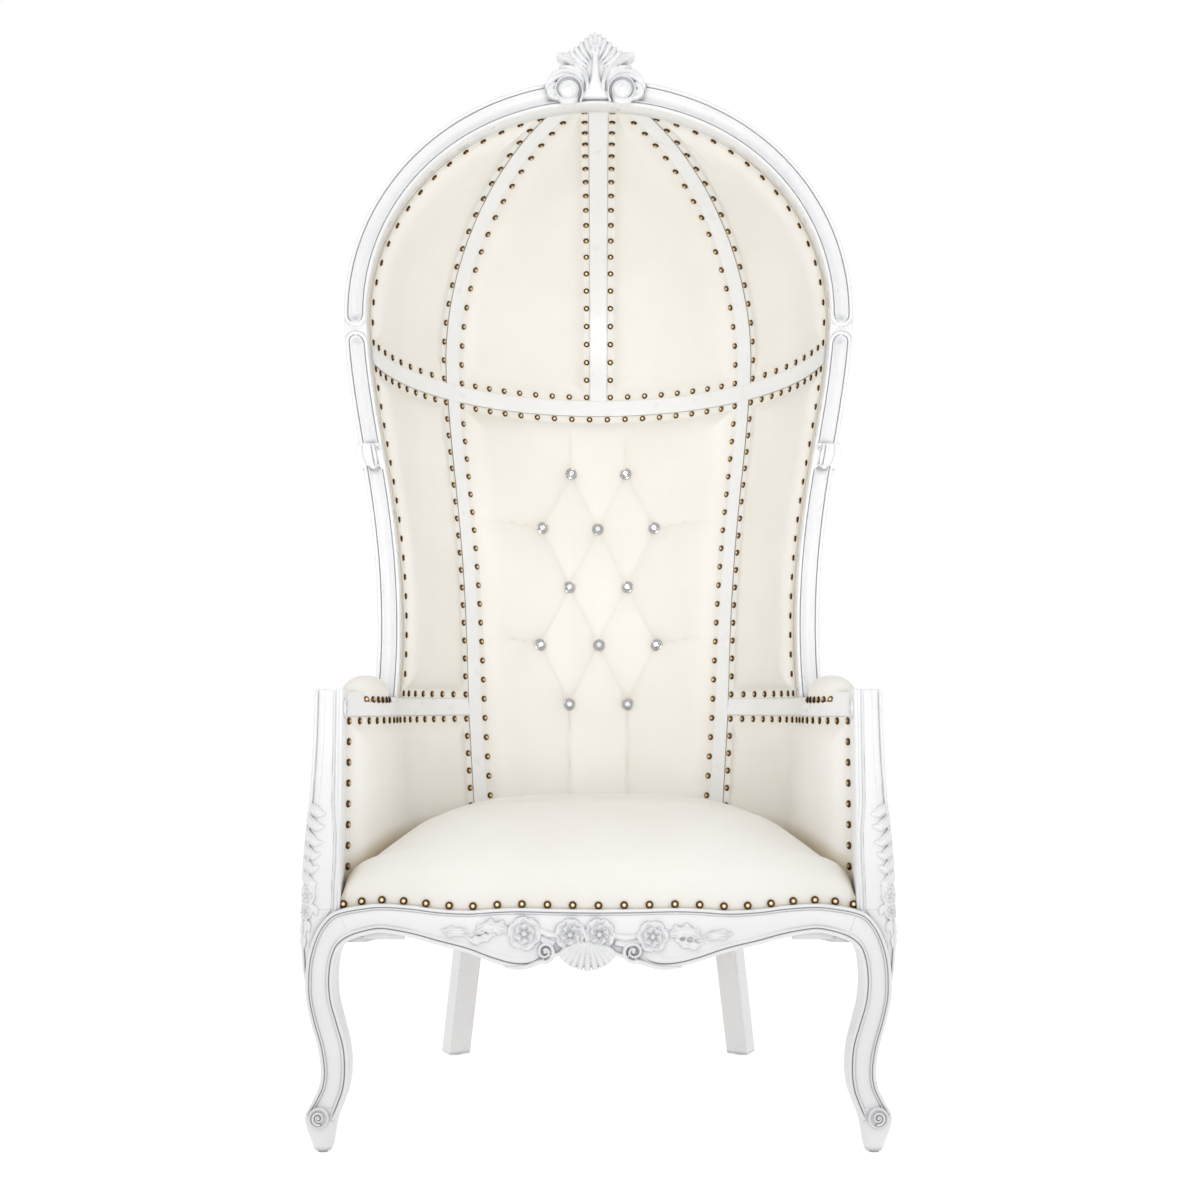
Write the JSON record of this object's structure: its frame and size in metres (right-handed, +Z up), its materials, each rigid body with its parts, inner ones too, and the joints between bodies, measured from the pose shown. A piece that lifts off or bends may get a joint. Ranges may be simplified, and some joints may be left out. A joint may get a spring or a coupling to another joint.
{
  "type": "hooded throne chair",
  "caption": "High hooded throne chair: carved white frame with a ribbed half dome canopy, cabriole front legs and tight cream leather with a tufted back.",
  "frame": {"origin": "on the floor under the middle of the chair's outer box", "axes": "+X to the right seen from the front, +Y towards the back, +Z up; the sitter faces -Y"},
  "size_m": [0.875, 0.8146, 1.79],
  "materials": {
    "painted_wood": "brushed white lacquer with cooler shade in the grooves",
    "leather": "smooth cream leather, drawn tight, soft sheen",
    "crystal": "cut clear crystal",
    "webbing": "plain jute webbing",
    "foam": "open foam",
    "bare_wood": "sawn hardwood",
    "steel": "pressed steel glides"
  },
  "bodies": {
    "root": {"apron_garland": "painted_wood", "arch_left": "painted_wood", "arch_right": "painted_wood", "arch_tongue": "bare_wood", "arm_pad_left": "leather", "arm_pad_right": "leather", "arm_panel_inside_left": "leather", "arm_panel_inside_right": "leather", "arm_panel_outside_left": "leather", "arm_panel_outside_right": "leather", "arm_post_left": "painted_wood", "arm_post_right": "painted_wood", "arm_rail_left": "painted_wood", "arm_rail_right": "painted_wood", "back_panel_inside": "leather", "back_panel_outside": "leather", "back_rail": "painted_wood", "back_stile_left": "painted_wood", "back_stile_right": "painted_wood", "corner_block_left": "bare_wood", "corner_block_right": "bare_wood", "crest": "painted_wood", "crystal_buttons": "crystal", "dome_gore_inside_left": "leather", "dome_gore_inside_right": "leather", "dome_gore_outside_left": "leather", "dome_gore_outside_right": "leather", "dome_rib_centre": "painted_wood", "dome_rib_left": "painted_wood", "dome_rib_right": "painted_wood", "dome_side_inside_left": "leather", "dome_side_inside_right": "leather", "dome_side_outside_left": "leather", "dome_side_outside_right": "leather", "floor_glides": "steel", "front_leg_left": "painted_wood", "front_leg_right": "painted_wood", "front_rail": "painted_wood", "hood_collar_left": "painted_wood", "hood_collar_right": "painted_wood", "hood_post_left": "painted_wood", "hood_post_right": "painted_wood", "rear_leg_left": "painted_wood", "rear_leg_right": "painted_wood", "ring_back": "painted_wood", "ring_side_left": "painted_wood", "ring_side_right": "painted_wood", "seat_cover": "leather", "seat_foam": "foam", "seat_webbing_cross": "webbing", "seat_webbing_long": "webbing", "side_rail_left": "painted_wood", "side_rail_right": "painted_wood", "wing_panel_inside_left": "leather", "wing_panel_inside_right": "leather", "wing_panel_outside_left": "leather", "wing_panel_outside_right": "leather"}
  },
  "joints": []
}
